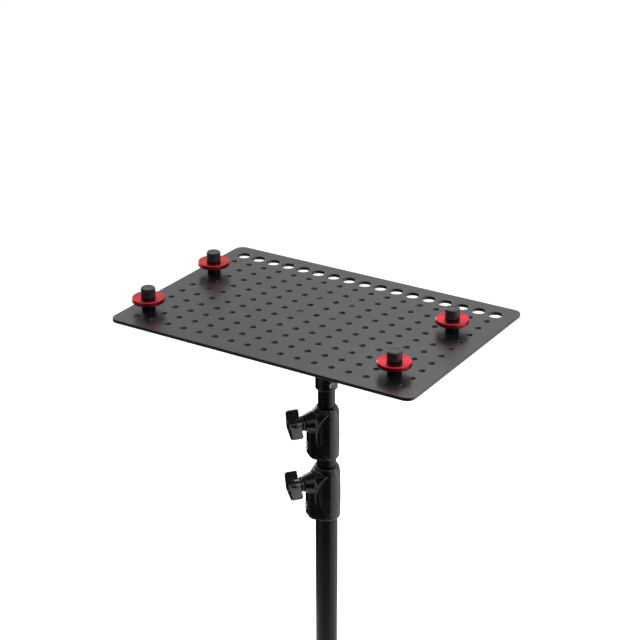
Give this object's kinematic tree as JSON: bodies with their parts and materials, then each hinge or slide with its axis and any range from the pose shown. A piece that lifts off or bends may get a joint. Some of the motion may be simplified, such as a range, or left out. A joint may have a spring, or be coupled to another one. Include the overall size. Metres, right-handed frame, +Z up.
{
  "type": "tethering table",
  "caption": "Perforated laptop work plate with red screw-down disc clamps and a row of cable holes, on a telescoping stand with T-knob collars and folding legs.",
  "frame": {"origin": "on the floor, in the middle of the object's outline seen from above", "axes": "+Z up; +X along the plate's long side, towards the right of someone at its front edge; +Y towards its back edge with the cable holes and towards the fixed leg"},
  "size_m": [0.763, 0.6648, 0.9821],
  "materials": {
    "plate_anodised": "satin black anodised sheet",
    "disc_anodised": "bright red anodised, turned",
    "knob_plastic": "black moulded, satin",
    "handle_plastic": "black moulded, satin",
    "post_steel": "black oxide, polished",
    "bright_steel": "zinc plated",
    "dark_steel": "black oxide",
    "casting": "black powder coated die casting",
    "tube_paint": "satin black tube",
    "washer_nylon": "natural nylon",
    "rubber": "moulded rubber"
  },
  "bodies": {
    "base": {"base_column": "tube_paint", "column_plug": "rubber", "lower_collar": "casting", "lower_collar_rivet_1": "bright_steel", "lower_collar_rivet_2": "bright_steel", "back_hub": "casting", "back_leg": "tube_paint", "back_boot": "rubber", "hub_washer_1": "washer_nylon", "hub_washer_2": "washer_nylon", "hub_retainer": "casting", "hub_retainer_grub_screw": "dark_steel"},
    "left_leg": {"left_hub": "casting", "left_leg": "tube_paint", "left_boot": "rubber"},
    "right_leg": {"right_hub": "casting", "right_leg": "tube_paint", "right_boot": "rubber"},
    "lower_lock": {"lower_collar_knob": "handle_plastic", "lower_collar_screw": "bright_steel"},
    "middle": {"middle_riser": "tube_paint", "upper_collar": "casting", "upper_collar_rivet_1": "bright_steel", "upper_collar_rivet_2": "bright_steel"},
    "upper_lock": {"upper_collar_knob": "handle_plastic", "upper_collar_screw": "bright_steel"},
    "top": {"top_riser": "tube_paint", "riser_cap": "casting", "riser_cap_grub_screw": "dark_steel", "spigot": "bright_steel"},
    "head": {"table_plate": "plate_anodised", "receiver": "casting", "receiver_screw_front_left": "dark_steel", "receiver_screw_front_right": "dark_steel", "receiver_screw_back_left": "dark_steel", "receiver_screw_back_right": "dark_steel", "clamp_front_left_post": "post_steel", "clamp_back_left_post": "post_steel", "clamp_front_right_post": "post_steel", "clamp_back_right_post": "post_steel"},
    "receiver_lock": {"receiver_lock_knob": "handle_plastic", "receiver_lock_screw": "bright_steel"},
    "clamp_front_left_grip": {"clamp_front_left_disc": "disc_anodised"},
    "clamp_front_left_turner": {"clamp_front_left_knob": "knob_plastic", "clamp_front_left_screw": "bright_steel"},
    "clamp_back_left_grip": {"clamp_back_left_disc": "disc_anodised"},
    "clamp_back_left_turner": {"clamp_back_left_knob": "knob_plastic", "clamp_back_left_screw": "bright_steel"},
    "clamp_front_right_grip": {"clamp_front_right_disc": "disc_anodised"},
    "clamp_front_right_turner": {"clamp_front_right_knob": "knob_plastic", "clamp_front_right_screw": "bright_steel"},
    "clamp_back_right_grip": {"clamp_back_right_disc": "disc_anodised"},
    "clamp_back_right_turner": {"clamp_back_right_knob": "knob_plastic", "clamp_back_right_screw": "bright_steel"}
  },
  "joints": [
    {"name": "left_leg_swing", "type": "hinge", "parent": "base", "child": "left_leg", "pos_m": [0, -0.10613, 0.1276], "axis": [0, 0, 1], "range_deg": [-112, 0]},
    {"name": "right_leg_swing", "type": "hinge", "parent": "base", "child": "right_leg", "pos_m": [0, -0.10613, 0.1642], "axis": [0, 0, 1], "range_deg": [0, 112]},
    {"name": "middle_riser_slide", "type": "slide", "parent": "base", "child": "middle", "axis": [0, 0, 1], "range_m": [0, 0.45]},
    {"name": "top_riser_slide", "type": "slide", "parent": "middle", "child": "top", "axis": [0, 0, 1], "range_m": [0, 0.45]},
    {"name": "head_turn", "type": "hinge", "parent": "top", "child": "head", "pos_m": [0, -0.10613, 0.8835], "axis": [0, 0, 1], "continuous": true},
    {"name": "lower_lock_turn", "type": "hinge", "parent": "base", "child": "lower_lock", "pos_m": [0, -0.10613, 0.6867], "axis": [-0.6157, -0.788, 0], "range_deg": [0, 360]},
    {"name": "upper_lock_turn", "type": "hinge", "parent": "middle", "child": "upper_lock", "pos_m": [0, -0.10613, 0.7825], "axis": [-0.6157, -0.788, 0], "range_deg": [0, 360]},
    {"name": "receiver_lock_turn", "type": "hinge", "parent": "head", "child": "receiver_lock", "pos_m": [0, -0.10613, 0.8835], "axis": [1, 0, 0], "range_deg": [0, 360]},
    {"name": "clamp_front_left_lift", "type": "slide", "parent": "head", "child": "clamp_front_left_grip", "axis": [0, 0, 1], "range_m": [0, 0.00635]},
    {"name": "clamp_front_left_turn", "type": "hinge", "parent": "clamp_front_left_grip", "child": "clamp_front_left_turner", "pos_m": [-0.2032, -0.23313, 0.97], "axis": [0, 0, 1], "range_deg": [0, 1801]},
    {"name": "clamp_back_left_lift", "type": "slide", "parent": "head", "child": "clamp_back_left_grip", "axis": [0, 0, 1], "range_m": [0, 0.00635]},
    {"name": "clamp_back_left_turn", "type": "hinge", "parent": "clamp_back_left_grip", "child": "clamp_back_left_turner", "pos_m": [-0.2032, -0.08073, 0.97], "axis": [0, 0, 1], "range_deg": [0, 1801]},
    {"name": "clamp_front_right_lift", "type": "slide", "parent": "head", "child": "clamp_front_right_grip", "axis": [0, 0, 1], "range_m": [0, 0.00635]},
    {"name": "clamp_front_right_turn", "type": "hinge", "parent": "clamp_front_right_grip", "child": "clamp_front_right_turner", "pos_m": [0.1778, -0.23313, 0.97], "axis": [0, 0, 1], "range_deg": [0, 1801]},
    {"name": "clamp_back_right_lift", "type": "slide", "parent": "head", "child": "clamp_back_right_grip", "axis": [0, 0, 1], "range_m": [0, 0.00635]},
    {"name": "clamp_back_right_turn", "type": "hinge", "parent": "clamp_back_right_grip", "child": "clamp_back_right_turner", "pos_m": [0.1778, -0.08073, 0.97], "axis": [0, 0, 1], "range_deg": [0, 1801]}
  ],
  "couplings": [
    {"joint": "clamp_front_left_turn", "follows": "clamp_front_left_lift", "rad_per_m": 4947.4},
    {"joint": "clamp_back_left_turn", "follows": "clamp_back_left_lift", "rad_per_m": 4947.4},
    {"joint": "clamp_front_right_turn", "follows": "clamp_front_right_lift", "rad_per_m": 4947.4},
    {"joint": "clamp_back_right_turn", "follows": "clamp_back_right_lift", "rad_per_m": 4947.4}
  ]
}
